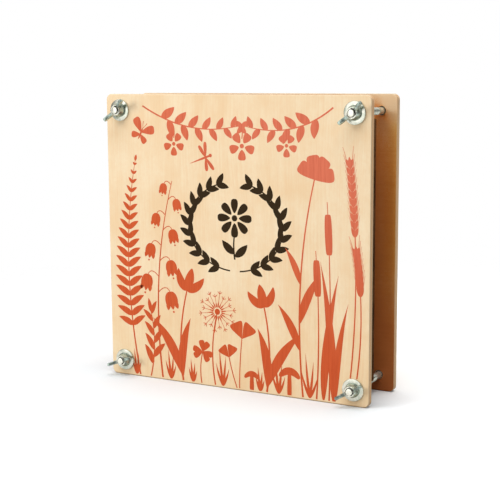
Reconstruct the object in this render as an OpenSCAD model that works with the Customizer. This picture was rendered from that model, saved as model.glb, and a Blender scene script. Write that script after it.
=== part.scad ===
// Flower press: two square plywood boards on four bolts. Wing nuts draw the front
// board along the bolts, towards the back board, onto a stack of card and paper.
// The press stands on the bottom edges of its boards. X is to the right, Y runs
// along the bolts from the front board to the back board, and Z is up. The origin
// is in the middle of the footprint, on the surface that the press stands on.

/* [Boards] */
// Width of both boards
board_w = 200; // [140:1:320]
// Height of both boards
board_h = 200; // [140:1:320]
// Thickness of each board
board_t = 4.5; // [3:0.1:12]
// Radius of the boards' corners
corner_r = 4; // [2:0.5:8]
// Distance from each bolt's axis to the two nearest edges of the boards
bolt_inset = 11.1; // [10:0.1:20]
// Gap all round a bolt in its hole in the boards
hole_clear = 0.5; // [0.3:0.05:1.2]

/* [Stack] */
// Number of corrugated cards
card_count = 5; // [2:1:8]
// Number of blotting papers between one card and the next
papers_between = 2; // [1:1:4]
// Thickness of a corrugated card
card_t = 1.8; // [1.2:0.1:3.2]
// Thickness of a blotting paper
paper_t = 0.5; // [0.3:0.05:1]
// Distance from the cards' edges to the boards' edges
card_inset = 4; // [2:0.1:8]
// How much further in the papers' edges are than the cards' edges
paper_step = 1.5; // [0:0.1:3]
// Gap between a bolt and the corner notches of a centred stack
notch_clear = 1; // [0.5:0.1:3]
// Free space between the stack and the back board, as opened here
press_open = 25.7; // [5:0.1:60]

/* [Bolts] */
// Diameter of the bolts
bolt_d = 5; // [4:0.5:6]
// Diameter of the bolts' domed heads
head_d = 13; // [11:0.1:16]
// Height of the bolts' domed heads
head_h = 2.8; // [2:0.1:4]
// Wood left in front of the square neck under each bolt's head
neck_cover = 1; // [0.5:0.1:2]
// How far each bolt stands out of its wing nut, as opened here
bolt_proud = 1.3; // [0.5:0.1:10]

/* [Washers] */
// Outer diameter of the washers
washer_d = 15; // [12:0.1:18]
// Thickness of the washers
washer_t = 1.2; // [0.8:0.1:2]
// Gap all round a bolt in its washer
washer_clear = 0.25; // [0.15:0.05:0.5]

/* [Wing nuts] */
// Height of a nut's hub
hub_h = 4.8; // [3.5:0.1:7]
// Wall of the hub round the bore, at its outer end
hub_wall = 1; // [0.8:0.1:1.5]
// How much further out the hub's foot reaches than its outer end
hub_flare = 1.5; // [0.5:0.1:2]
// Distance over both wing tips
wing_span = 20.8; // [18:0.1:26]
// Height of the wing tips over the hub's foot
wing_h = 8.8; // [8:0.1:14]
// Thickness of a wing
wing_t = 2.4; // [1.6:0.1:3]
// Radius of a wing's round tip
tip_r = 1.7; // [1.2:0.1:2.5]
// Directions of the wings round the bolts, in degrees from +X: top left, top right, bottom left, bottom right
wing_angles = [44, 42, 20, 30]; // [0:1:180]

/* [Hidden] */
// Corners of the press, as seen from the front: names, and sides in X and Z
CORNERS = ["top_left", "top_right", "bottom_left", "bottom_right"];
SIDES = [[-1, 1], [1, 1], [-1, -1], [1, -1]];
corner_last = len(CORNERS) - 1;

paper_count = (card_count - 1) * papers_between;

// Running clearance, on the radius, of the nuts' bores over the bolts' outer diameter
bore_clear = 0.05;
// Clearance all round a bolt's square neck in the back board
neck_clear = 0.1;
// Gap under the stack, where its notches sit on the two lower bolts
seat_gap = 0.3;
// Chamfers on the bolts' ends and the washers' rims, and the height of the hub's straight foot
bolt_chamfer = 0.5;
washer_chamfer = 0.2;
foot_h = 1;
// Height of a wing's lower and upper roots on the hub
root_low = 0.8;
root_high = 4.2;
// How far cuts run past the faces that they cut
overrun = 1;
// Points round a wing's tip
tip_steps = 16;
$fn = 96;

stack_t = card_count * card_t + paper_count * paper_t;
gap = stack_t + press_open;
bolt_len = 2 * board_t + gap + washer_t + hub_h + bolt_proud;
depth = wing_h + washer_t + 2 * board_t + gap + head_h;

// Places along the bolts
front_y = wing_h + washer_t - depth / 2;
stack_y = front_y + board_t;
inner_y = stack_y + gap;
back_y = inner_y + board_t;

// Places of the bolts
bolt_x = board_w / 2 - bolt_inset;
bolt_z = board_h / 2 - bolt_inset;
neck_w = bolt_d;
neck_len = board_t - neck_cover;
hole_d = bolt_d + 2 * hole_clear;

hub_top_d = bolt_d + 2 * hub_wall;
hub_foot_d = hub_top_d + 2 * hub_flare;
tip_out = wing_span / 2 - tip_r;
tip_up = wing_h - tip_r;

// Carries a shape drawn upright on the XY plane to one corner of the press, where
// its Z runs forwards along the bolt from the given place
module at_corner(corner, y) {
    side = SIDES[corner];
    translate([side[0] * bolt_x, y, board_h / 2 + side[1] * bolt_z])
        rotate([90, 0, 0])
            children();
}

// Flat plate with four round corners, its middle on the Z axis
module round_plate(w, h, t, r) {
    translate([r - w / 2, -h / 2, 0])
        cube([w - 2 * r, h, t]);
    translate([-w / 2, r - h / 2, 0])
        cube([w, h - 2 * r, t]);
    for (x = [r - w / 2, w / 2 - r], y = [r - h / 2, h / 2 - r])
        translate([x, y, 0])
            cylinder(h = t, r = r);
}

// Board with its four bolt holes, from the given front face backwards
module drilled_board(y) {
    difference() {
        translate([0, y + board_t, board_h / 2])
            rotate([90, 0, 0])
                round_plate(board_w, board_h, board_t, corner_r);
        for (corner = [0:corner_last])
            at_corner(corner, y + board_t + overrun)
                cylinder(h = board_t + 2 * overrun, d = hole_d);
    }
}

module front_board() {
    color("#f0d7ae") drilled_board(front_y);
}

// The square necks of the bolts sit in square pockets, sunk from the back face
module back_board() {
    pocket_w = neck_w + 2 * neck_clear;
    color("#e2c193") difference() {
        drilled_board(inner_y);
        for (corner = [0:corner_last])
            at_corner(corner, back_y + overrun)
                translate([-pocket_w / 2, -pocket_w / 2, 0])
                    cube([pocket_w, pocket_w, overrun + neck_len + neck_clear]);
    }
}

// Domed head, square neck and round shank, from the back face of the back board
module bolt(corner) {
    shank_r = bolt_d / 2;
    dome_r = (head_d * head_d / 4 + head_h * head_h) / (2 * head_h);
    color("#b9bdc0") at_corner(corner, back_y) {
        intersection() {
            translate([0, 0, dome_r - head_h])
                sphere(r = dome_r);
            translate([0, 0, -head_h])
                cylinder(h = head_h, d = head_d);
        }
        translate([-neck_w / 2, -neck_w / 2, 0])
            cube([neck_w, neck_w, neck_len]);
        rotate_extrude()
            polygon([
                [0, 0],
                [shank_r, 0],
                [shank_r, bolt_len - bolt_chamfer],
                [shank_r - bolt_chamfer, bolt_len],
                [0, bolt_len]
            ]);
    }
}

module washer(corner) {
    inner_r = bolt_d / 2 + washer_clear;
    outer_r = washer_d / 2;
    color("#d5d8da") at_corner(corner, front_y)
        rotate_extrude()
            polygon([
                [inner_r, 0],
                [outer_r, 0],
                [outer_r, washer_t - washer_chamfer],
                [outer_r - washer_chamfer, washer_t],
                [inner_r, washer_t]
            ]);
}

// Angle, seen from the tip's centre, at which a line from a root touches the tip
function touch_angle(root, side) =
    let (to_tip = [tip_out, tip_up] - root)
    atan2(to_tip[1], to_tip[0]) + 180 + side * acos(tip_r / norm(to_tip));

// Side view of one wing: out of the hub, round the tip and back
function wing_outline() =
    let (
        low = [0, root_low],
        high = [0, root_high],
        start = touch_angle(low, 1) - 360,
        end = touch_angle(high, -1)
    )
    concat(
        [low],
        [
            for (step = [0:tip_steps])
                let (a = start + (end - start) * step / tip_steps)
                    [tip_out + tip_r * cos(a), tip_up + tip_r * sin(a)]
        ],
        [high]
    );

module wing() {
    rotate([90, 0, 0])
        translate([0, 0, -wing_t / 2])
            linear_extrude(height = wing_t)
                polygon(wing_outline());
}

// Conical hub with two splayed wings, from the outer face of the washer
module wing_nut(corner) {
    foot_r = hub_foot_d / 2;
    color("#c9cdd0") at_corner(corner, front_y - washer_t)
        rotate([0, 0, wing_angles[corner]])
            difference() {
                union() {
                    rotate_extrude()
                        polygon([
                            [0, 0],
                            [foot_r, 0],
                            [foot_r, foot_h],
                            [hub_top_d / 2, hub_h],
                            [0, hub_h]
                        ]);
                    wing();
                    rotate([0, 0, 180])
                        wing();
                }
                translate([0, 0, -overrun])
                    cylinder(h = wing_h + 2 * overrun, r = bolt_d / 2 + bore_clear);
            }
}

// Sheet with a square notch at each corner, where the bolts pass. Its front face
// is at the given place, and it hangs down until it sits on the two lower bolts.
module sheet(y, thickness, inset) {
    half_w = board_w / 2 - inset;
    half_h = board_h / 2 - inset;
    notch_x = bolt_x - bolt_d / 2 - notch_clear;
    notch_z = bolt_z - bolt_d / 2 - notch_clear;
    translate([0, y + thickness, board_h / 2 - notch_clear + seat_gap])
        rotate([90, 0, 0])
            linear_extrude(height = thickness)
                polygon([
                    [half_w, -notch_z], [half_w, notch_z],
                    [notch_x, notch_z], [notch_x, half_h],
                    [-notch_x, half_h], [-notch_x, notch_z],
                    [-half_w, notch_z], [-half_w, -notch_z],
                    [-notch_x, -notch_z], [-notch_x, -half_h],
                    [notch_x, -half_h], [notch_x, -notch_z]
                ]);
}

// One card and the papers behind it, repeated through the stack
layer_t = card_t + papers_between * paper_t;

module card(n) {
    color("#a9794a") sheet(stack_y + (n - 1) * layer_t, card_t, card_inset);
}

module paper(n) {
    layer = floor((n - 1) / papers_between);
    place = n - 1 - layer * papers_between;
    color("#e8e0cf")
        sheet(stack_y + layer * layer_t + card_t + place * paper_t, paper_t, card_inset + paper_step);
}

back_board();
front_board();
for (corner = [0:corner_last]) {
    bolt(corner);
    washer(corner);
    wing_nut(corner);
}
for (n = [1:card_count])
    card(n);
for (n = [1:paper_count])
    paper(n);
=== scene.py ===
"""Looks of a wooden flower press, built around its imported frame.

Lengths are in metres, in the frame's own axes: X to the right, Y along the bolts from
the front board to the back board, and Z up from the surface that the press stands on.
"""

import math

import bmesh
import bpy
import numpy as np
from bpy.props import FloatProperty, FloatVectorProperty, PointerProperty
from mathutils import Matrix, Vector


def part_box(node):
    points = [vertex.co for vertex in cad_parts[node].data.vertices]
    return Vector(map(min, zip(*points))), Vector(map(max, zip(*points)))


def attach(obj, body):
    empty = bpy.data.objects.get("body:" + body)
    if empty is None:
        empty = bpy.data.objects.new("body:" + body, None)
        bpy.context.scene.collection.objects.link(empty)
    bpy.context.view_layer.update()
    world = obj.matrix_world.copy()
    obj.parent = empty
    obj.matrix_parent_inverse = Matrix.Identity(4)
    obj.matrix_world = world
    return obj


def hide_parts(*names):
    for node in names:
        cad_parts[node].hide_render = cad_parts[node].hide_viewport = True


bl_info = {
    "name": "Flower press",
    "version": (1, 0, 0),
    "blender": (4, 5, 0),
    "location": "View3D > Sidebar > Flower press",
    "description": "Builds a wooden flower press around its packed frame",
    "category": "Object",
}

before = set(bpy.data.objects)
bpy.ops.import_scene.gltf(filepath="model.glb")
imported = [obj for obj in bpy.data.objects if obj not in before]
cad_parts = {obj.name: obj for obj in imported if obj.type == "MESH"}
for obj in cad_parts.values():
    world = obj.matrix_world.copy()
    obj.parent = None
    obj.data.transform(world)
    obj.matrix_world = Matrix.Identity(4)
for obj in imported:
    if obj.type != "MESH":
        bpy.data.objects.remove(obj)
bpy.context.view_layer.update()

MM = 0.001
SAME_POINT = 0.0005 * MM
SHARP_FROM = math.radians(40)
CORNERS = ("top_left", "top_right", "bottom_left", "bottom_right")
WHITE = (1, 1, 1, 1)

# Painted shade on the back board's inner face: factors on its colour, by how much is
# close in front of it: a little, in the middle and at the two side edges, more, and
# most, which is on the warm tone. They stand in for the shade and the warm bounce light
# between the boards. The last one is painted warm bounce light on its upright margins.
FREE_REACH = 80 * MM
LIGHT_SHADE_TINTS = (0.82, 0.42, 0.06, 1), (1.0, 0.52, 0.075, 1)
DEEP_SHADE_TINT, DEEPEST_SHADE = (0.73, 0.3, 0.115, 1), (0.4, 0.12, 0.04)
MARGIN_WARM_LIGHT = (1.01, 0.83, 0.42, 1)
# Tints of the wood: its mottle; painted light on the upright edges, which makes them
# lighter and warmer than the top and bottom ones; painted shade low on the faces; and
# a painted contact shadow at the foot
MOTTLE_TINT, UPRIGHT_EDGE_LIGHT = (1, 0.95, 0.86), (1.44, 1.09, 0.8, 1)
LOW_SHADE, FOOT_SHADOW = (1.0, 0.975, 0.93, 1), (0.5, 0.4, 0.3, 1)
# Factors on the ink over pale grain, over dark grain and over flecks
INK_GRAIN, INK_FLECK = ((1.06, 1.18, 1.2, 1), (0.93, 0.9, 0.9, 1)), (0.76, 0.7, 0.7, 1)

# Rays in the parts of a board's quarter, with the third part round its corner, and the
# distance from a rounding to the line that keeps the flat next to it flat
BOARD_RAYS, GUARD = (10, 26, 10, 26, 10), 0.25 * MM
# Number of heights at which strokes of ink lie, and of points along each stroke
LAYERS, STROKE_POINTS = 40, 33
# Points round a bolt, and the height and radius of the dome at its end
BOLT_SIDES, END_DOME, END_R = 48, 0.2 * MM, 2.2 * MM
# Wing nuts: straight foot of the hub, rounding of the wings, countersink, the ring from
# which the skin is found, the points round the bolt and round the ring, and the steps
HUB_FOOT_H, WING_RIM, NUT_SINK = 1 * MM, 0.85 * MM, 0.25 * MM
NUT_CORE, NUT_GRID, HALVINGS = (3.2 * MM, 3.0 * MM), (176, 128), 44

# Camera: place in metres, and yaw, pitch and roll in radians
CAMERA_PLACE, CAMERA_TURN = (0.37876, -0.68618, 0.21358), (0.50148, 0.15185, -0.00609)
# Floor: as seen to the left and to the right, where the lighter right is painted light
# over the press's shade there; its painted cool tint near the press, which cancels the
# wood's warm bounce light; and as matt surfaces are lit by it
FLOOR_SHOWN = (0.79, 0.79, 0.79, 1), (0.96, 0.96, 0.96, 1)
FLOOR_TINT, FLOOR_BOUNCE = (0.935, 0.975, 1.0, 1), (0.3, 0.3, 0.3, 1)


# ---- the frame's places


def cad_box(node):
    """Lowest and highest corner of a CAD node, as arrays."""
    low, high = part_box(node)
    return np.array(low), np.array(high)


def bolt_place(corner):
    """X and Z of one bolt's axis, which is the middle of its washer."""
    low, high = cad_box("washer_" + corner)
    return (low[0] + high[0]) / 2, (low[2] + high[2]) / 2


def wing_reach(corner):
    """Places of a nut's CAD points round its bolt, in X and Z."""
    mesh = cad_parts["wing_nut_" + corner].data
    points = np.zeros(len(mesh.vertices) * 3, np.float32)
    mesh.vertices.foreach_get("co", points)
    return points.reshape(-1, 3)[:, [0, 2]].astype(float) - bolt_place(corner)


def wing_turn(corner):
    """Direction of a nut's wings round its bolt, from its furthest CAD points."""
    reach = wing_reach(corner)
    far = np.hypot(*reach.T)
    tips = reach[(far > far.max() - 0.3 * MM) & (reach[:, 0] > 0)].mean(0)
    return math.atan2(tips[1], tips[0])


def along_bolt(points, corner, y, turn=0.0):
    """Carries points from a bolt's own axes, whose Z runs forwards, into the frame."""
    x, z = bolt_place(corner)
    c, s = math.cos(turn), math.sin(turn)
    across = points[..., 0] * c - points[..., 1] * s
    up = points[..., 0] * s + points[..., 1] * c
    return np.stack([x + across, y - points[..., 2], z + up], -1)


# ---- meshes


class Shell:
    """Grids and flat caps that together make the closed skin of one piece."""

    def __init__(self):
        self.points, self.faces, self.count = [], [], 0

    def keep(self, points):
        """Adds points and gives the number of the first one."""
        first = self.count
        self.points.append(points.reshape(-1, 3))
        self.count += len(self.points[-1])
        return first

    def grid(self, points, close_rows=False, close_columns=False, flip=False):
        """Adds a grid of points with a quad between each four neighbours."""
        quads = grid_quads(*points.shape[:2], close_rows, close_columns)
        if flip:
            quads = quads[:, ::-1]
        self.faces += (quads + self.keep(points)).tolist()

    def bars(self, points):
        """Adds a stack of four-sided bars, each of rows by four points, with flat ends."""
        number, rows, columns = points.shape[:3]
        ends = [np.arange(columns)[::-1], np.arange(columns) + (rows - 1) * columns]
        quads = np.concatenate([grid_quads(rows, columns, False, True), np.stack(ends)])
        first = self.keep(points) + np.arange(number) * rows * columns
        self.faces += (quads[None] + first[:, None, None]).reshape(-1, 4).tolist()

    def slab(self, rings):
        """Adds a solid from rings of points, with a flat cap on the first and last."""
        first = self.keep(rings)
        rows, columns = rings.shape[:2]
        self.faces += (grid_quads(rows, columns, False, True) + first).tolist()
        self.faces.append([first + k for k in reversed(range(columns))])
        self.faces.append([first + (rows - 1) * columns + k for k in range(columns)])

    def make(self, name, finish, body, stands_for=(), slot=None, flat=False):
        """Turns the grids into a piece that rides on a body of the frame."""
        mesh = bpy.data.meshes.new(name)
        mesh.from_pydata(np.concatenate(self.points).tolist(), [], self.faces)
        work = bmesh.new()
        work.from_mesh(mesh)
        bmesh.ops.remove_doubles(work, verts=work.verts, dist=SAME_POINT)
        bmesh.ops.recalc_face_normals(work, faces=work.faces)
        work.to_mesh(mesh)
        work.free()
        if not flat:
            mesh.shade_smooth()
            mesh.set_sharp_from_angle(angle=SHARP_FROM)
        mesh.materials.append(finish)
        piece = bpy.data.objects.new(name, mesh)
        bpy.context.scene.collection.objects.link(piece)
        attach(piece, body)
        if stands_for:
            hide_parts(*stands_for)


def grid_quads(rows, columns, close_rows, close_columns):
    """Quads between the points of a grid that are numbered row by row."""
    row = np.arange(rows if close_rows else rows - 1)
    column = np.arange(columns if close_columns else columns - 1)
    row, column = np.meshgrid(row, column, indexing="ij")
    below, beside = (row + 1) % rows, (column + 1) % columns
    corners = [
        row * columns + column,
        below * columns + column,
        below * columns + beside,
        row * columns + beside,
    ]
    return np.stack(corners, -1).reshape(-1, 4)


def revolve(profile, segments):
    """Grid of a profile of radius and height, swept once round the height axis."""
    angle = np.arange(segments) * 2 * np.pi / segments
    radius, height = profile[:, 0, None], profile[:, 1, None]
    return np.stack([radius * np.cos(angle), radius * np.sin(angle), height + 0 * angle], -1)


def soften(corners, cut, steps=4, guard=0.15 * MM, closed=False):
    """Rounds the corners of a profile.

    Each corner P becomes the curve (1-t)^2 A + 2t(1-t) P + t^2 B, where A and B lie a
    cut before and after it, with one more point outside each, so that flats stay flat.
    """
    corners = np.array(corners, float)
    cut = np.broadcast_to(np.array(cut, float), len(corners))
    before, after = np.roll(corners, 1, 0), np.roll(corners, -1, 0)
    t = np.linspace(0, 1, steps + 1)[None, :, None]

    def towards(other):
        run = other - corners
        return run / np.maximum(np.linalg.norm(run, axis=1, keepdims=True), 1e-12)

    a, b = towards(before), towards(after)
    start = (corners + a * cut[:, None])[:, None]
    end = (corners + b * cut[:, None])[:, None]
    middle = corners[:, None]
    curve = (1 - t) ** 2 * start + 2 * t * (1 - t) * middle + t * t * end
    guards = guard * (cut > 0)[:, None]
    first, last = start[:, 0] + a * guards, end[:, 0] + b * guards
    path = np.concatenate([first[:, None], curve, last[:, None]], 1)
    if not closed:
        path[0], path[-1] = corners[0], corners[-1]
    path = path.reshape(-1, corners.shape[1])
    step = np.linalg.norm(np.diff(path, axis=0, prepend=path[:1] + 1), axis=1)
    return path[step > SAME_POINT]


# ---- materials


class Shade:
    """A shader socket that takes part in Python expressions."""

    def __init__(self, graph, socket):
        self.graph, self.socket = graph, socket

    def __add__(self, other):
        return self.graph.maths("ADD", self, other)

    def __mul__(self, other):
        return self.graph.maths("MULTIPLY", self, other)

    def __sub__(self, other):
        return self.graph.maths("SUBTRACT", self, other)

    def __rsub__(self, other):
        return self.graph.maths("SUBTRACT", other, self)

    def __truediv__(self, other):
        return self.graph.maths("DIVIDE", self, other)

    __radd__ = __add__
    __rmul__ = __mul__


class Graph:
    """The nodes of one material or world, added by plain calls."""

    def __init__(self, owner):
        owner.use_nodes = True
        self.tree = owner.node_tree
        self.tree.nodes.clear()

    def node(self, kind, settings=None, sockets=None, out=0):
        """Adds a node, sets it, feeds its sockets and gives one of its outputs."""
        node = self.tree.nodes.new("ShaderNode" + kind)
        for name, value in (settings or {}).items():
            if name == "stops":
                self.set_stops(node.color_ramp.elements, value)
            else:
                setattr(node, name, value)
        for name, value in (sockets or {}).items():
            if isinstance(value, Shade):
                self.tree.links.new(value.socket, node.inputs[name])
            else:
                node.inputs[name].default_value = value
        return Shade(self, node.outputs[out]) if len(node.outputs) else node

    @staticmethod
    def set_stops(elements, stops):
        """Sets a ramp's stops, given as places and colours."""
        while len(elements) < len(stops):
            elements.new(1.0)
        for element, (place, colour) in zip(elements, stops):
            element.position, element.color = place, colour

    def maths(self, operation, a, b=0.0):
        """One Math node on two values."""
        return self.node("Math", {"operation": operation}, {0: a, 1: b})

    def step(self, value, start, end, low=0.0, high=1.0):
        """Smooth step of a value, from low at start to high at end."""
        sockets = {"Value": value, 1: start, 2: end, 3: low, 4: high}
        return self.node("MapRange", {"interpolation_type": "SMOOTHSTEP"}, sockets)

    def mix(self, share, a, b, blend="MIX"):
        """Mixes two colours."""
        settings = {"data_type": "RGBA", "blend_type": blend, "clamp_factor": True}
        return self.node("Mix", settings, {0: share, 6: a, 7: b}, 2)

    def place(self):
        """Object coordinates in millimetres."""
        where = self.node("TexCoord", out=3)
        return self.node("VectorMath", {"operation": "SCALE"}, {0: where, "Scale": 1000})

    def split(self, vector):
        """The three parts of a vector."""
        part = self.node("SeparateXYZ", sockets={0: vector})
        return [Shade(self, output) for output in part.socket.node.outputs]

    def join(self, x, y, z):
        """A vector from three parts."""
        return self.node("CombineXYZ", sockets={0: x, 1: y, 2: z})

    def seen(self):
        """1 where the camera looks, straight or by way of a mirror or glass, else 0."""
        outputs = self.node("LightPath").socket.node.outputs
        kinds = ("Is Camera Ray", "Is Glossy Ray", "Is Transmission Ray")
        straight, mirrored, through = (Shade(self, outputs[kind]) for kind in kinds)
        return self.maths("MINIMUM", straight + mirrored + through, 1.0)

    def noise(self, vector, scale, detail=2.0, rough=0.5):
        """Soft noise from 0 to 1 on a vector."""
        sockets = {"Vector": vector, "Scale": scale, "Detail": detail, "Roughness": rough}
        return self.node("TexNoise", sockets=sockets)

    def surface(self, shader):
        """Ends a material."""
        self.node("OutputMaterial", sockets={"Surface": shader})

    def finish(self, colour, rough, height, strength, distance, constants):
        """Ends a material with one plain surface under a bump."""
        bump = {"Strength": strength, "Distance": distance, "Height": height}
        sockets = {"Base Color": colour, "Roughness": rough, **constants}
        sockets["Normal"] = self.node("Bump", sockets=bump)
        self.surface(self.node("BsdfPrincipled", sockets=sockets))


def new_material(name):
    """An empty material and its graph."""
    material = bpy.data.materials.new(name)
    return material, Graph(material)


def linear(colour):
    """Scene-linear RGBA of a colour as shown on a screen."""
    shown = np.array(colour, float)
    light = np.where(shown <= 0.04045, shown / 12.92, ((shown + 0.055) / 1.055) ** 2.4)
    return (*light.tolist(), 1.0)


def shaded(colour, factor):
    """A linear colour made darker or lighter, channel by channel."""
    return (*(np.array(colour[:3]) * factor).tolist(), 1.0)


def veneer(graph, across, along, depth):
    """Grain of one sheet of birch, as (streaks, flecks, bands), each from 0 to 1.

    Noise is drawn out along the grain, and the lines sway with a slow noise.
    """
    sway = graph.noise(graph.join(across * 0.02, along * 0.008, depth), 1.0, 1.0)
    bent = across + sway * 14
    streaks = graph.noise(graph.join(bent * 0.75, along * 0.03, depth), 1.0, 4.0, 0.62)
    fine = graph.noise(graph.join(bent * 3.6, along * 0.16, depth), 1.0, 2.0)
    flecks = graph.step(fine, 0.6, 0.78)
    bands = graph.noise(graph.join(bent * 0.07, along * 0.006, depth), 1.0, 2.0)
    return streaks, flecks, bands


def painted_inner_shade(g, face, warm, inner, x, z):
    """Painted shade and warm bounce light on the inner face: its colour is made deeper and warmer
    where less of it lies free.

    Free is 1 less the share of directions in which something is within FREE_REACH.
    """
    free = g.node("AmbientOcclusion", {"samples": 16}, {"Distance": FREE_REACH}, 1)
    from_middle = g.maths("ABSOLUTE", x)
    # Painted shade: tints by how little lies free, less dark at the side edges
    tint = g.mix(g.step(from_middle, 96.5, 99.5), *LIGHT_SHADE_TINTS)
    tint = g.mix(g.step(free, 0.6, 0.535) * inner, WHITE, tint)
    tint = g.mix(g.step(free, 0.57, 0.42) * inner, tint, DEEP_SHADE_TINT)
    face = g.mix(1.0, face, tint, "MULTIPLY")
    # Painted deepest shade, on the warm tone, where least lies free
    face = g.mix(g.step(free, 0.36, 0.1) * inner * 0.7, face, shaded(warm, DEEPEST_SHADE))
    # Painted warm bounce light on the upright margins
    margin = g.step(from_middle, 88, 98) * g.step(z, 45, 95) * g.step(z, 193, 174)
    return g.mix(margin * inner, face, MARGIN_WARM_LIGHT, "MULTIPLY")


def plywood(name, settings, tones, low, high, grain_up, inward):
    """Birch plywood: veneer on the faces, three plies with glue lines on the edges.

    The face that looks along Y by the sign of inward is the inner one, and gets painted
    shade and warm bounce light. With 0, neither face is. Painted light makes the upright
    edges lighter and warmer, painted shade darkens the faces low down, and a painted
    contact shadow darkens the foot.
    """
    material, g = new_material(name)
    x, y, z = g.split(g.place())
    normal = g.split(g.node("TexCoord", out=1))
    across_n, face_n, up_n = [g.maths("ABSOLUTE", part) for part in normal]
    across, along = (x, z) if grain_up else (z, x)
    streaks, flecks, bands = veneer(g, across, along, y * 0.15)

    pale, warm = (linear(tone) for tone in tones)
    cloud = g.noise(g.join(x * 0.03, y * 0.1, z * 0.03), 1.0, 3.0, 0.6)
    mottle = g.noise(g.join(x * 0.5, y, z * 0.35), 1.0, 3.0, 0.6)
    tone = streaks * 0.3 + bands * 0.25 + cloud * 0.45
    face = g.mix(g.step(tone, 0.36, 0.64), pale, warm)
    face = g.mix(flecks * 0.1, face, shaded(warm, 0.62))
    face = g.mix(g.step(mottle, 0.35, 0.7, 0.0, 0.22), face, shaded(warm, MOTTLE_TINT))
    # Painted shade and warm bounce light, on the inner face only
    face = painted_inner_shade(g, face, warm, g.step(normal[1] * inward, 0.3, 0.7), x, z)

    depth = (y - low[1] / MM) / ((high[1] - low[1]) / MM)
    depth = depth + g.noise(g.join(x * 0.09, 0.0, z * 0.09), 1.0, 3.0) * 0.05 - 0.025
    ply = g.maths("ABSOLUTE", depth - 0.5)
    core = g.step(ply, 0.235, 0.205)
    glue = g.step(g.maths("ABSOLUTE", ply - 0.22), 0.03, 0.008)
    ends = (up_n, across_n) if grain_up else (across_n, up_n)
    run = x * up_n + z * across_n
    fibre = g.noise(g.join(run * 0.12, depth * 9.0, 0.0), 1.0, 3.0, 0.6)
    pores = g.noise(g.join(run * 2.6, depth * 11.0, 0.0), 1.0, 3.0, 0.7)
    side, end = linear(settings.edge_side), linear(settings.edge_end)
    end_share = g.split(g.mix(core, *[g.join(part, 0, 0) for part in ends]))[0]
    side_colour = g.mix(g.step(fibre, 0.3, 0.72), side, shaded(side, 0.86))
    end_colour = g.mix(g.step(pores, 0.35, 0.7), shaded(end, 1.12), shaded(end, 0.7))
    edge = g.mix(g.step(end_share, 0.35, 0.75), side_colour, end_colour)
    # Painted light: the upright edges lighter and warmer than the top and bottom ones
    edge = g.mix(across_n, edge, UPRIGHT_EDGE_LIGHT, "MULTIPLY")
    edge = g.mix(glue * 0.55, edge, shaded(end, 0.5))

    on_edge = g.step(face_n, 0.97, 0.8)
    colour = g.mix(on_edge, face, edge)
    # Painted shade: the faces darker and warmer towards the bottom
    colour = g.mix(g.step(z, 90, 10) * (1 - on_edge), colour, LOW_SHADE, "MULTIPLY")
    # Painted contact shadow along the foot, where the board meets the floor
    colour = g.mix(g.step(z, 0.9, 0.35), colour, FOOT_SHADOW, "MULTIPLY")
    rough = settings.roughness + streaks * 0.08 + on_edge * 0.15
    height = streaks * 0.5 + flecks * -0.35 + on_edge * pores * 1.4
    g.finish(colour, rough, height, 0.35, 0.06 * MM, {"Specular IOR Level": 0.35})
    return material


def printing_ink(name, low, high, worn):
    """Matt screen ink on veneer: thin enough for the grain to show a little.

    Its colour goes from one tone, down at the left, to another, up at the right; where the second
    is lighter, it is a painted sheen.
    """
    material, g = new_material(name)
    x, y, z = g.split(g.place())
    streaks, flecks, _ = veneer(g, x, z, y * 0.15)
    # Painted sheen: the ink goes to the second tone up at the right
    ink = g.mix(g.step(x * 0.6 + z, 70, 200), linear(low), linear(high))
    grain = g.mix(g.step(streaks, 0.3, 0.72), *INK_GRAIN)
    grain = g.mix(flecks * 0.3, grain, INK_FLECK)
    speck = g.step(g.noise(g.join(x, y, z), 2.2, 3.0, 0.6), 0.66, 0.8)
    thin = g.mix(0.25, ink, linear((0.95, 0.85, 0.7)))
    colour = g.mix(speck * worn, g.mix(1.0, ink, grain, "MULTIPLY"), thin)
    rough = 0.55 + streaks * 0.12
    g.finish(colour, rough, streaks - flecks, 0.25, 0.04 * MM, {"Specular IOR Level": 0.15})
    return material


def from_bolt(g):
    """Distance from the nearest bolt's axis and place along it, in millimetres, and
    the cosine of the angle from the upper right round it."""
    x, y, z = g.split(g.place())
    low, high = cad_box("front_board")
    across, up = bolt_place("top_right")
    middle = (low[2] + high[2]) / 2
    out = g.maths("ABSOLUTE", x) - across / MM
    above = g.maths("ABSOLUTE", z - middle / MM) - (up - middle) / MM
    r = g.node("VectorMath", {"operation": "LENGTH"}, {0: g.join(out, above, 0)}, 1)
    right = out * g.maths("SIGN", x)
    upper = above * g.maths("SIGN", z - middle / MM)
    return r, y, (right * 0.8 + upper * 0.6) / g.maths("MAXIMUM", r, 0.01)


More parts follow.
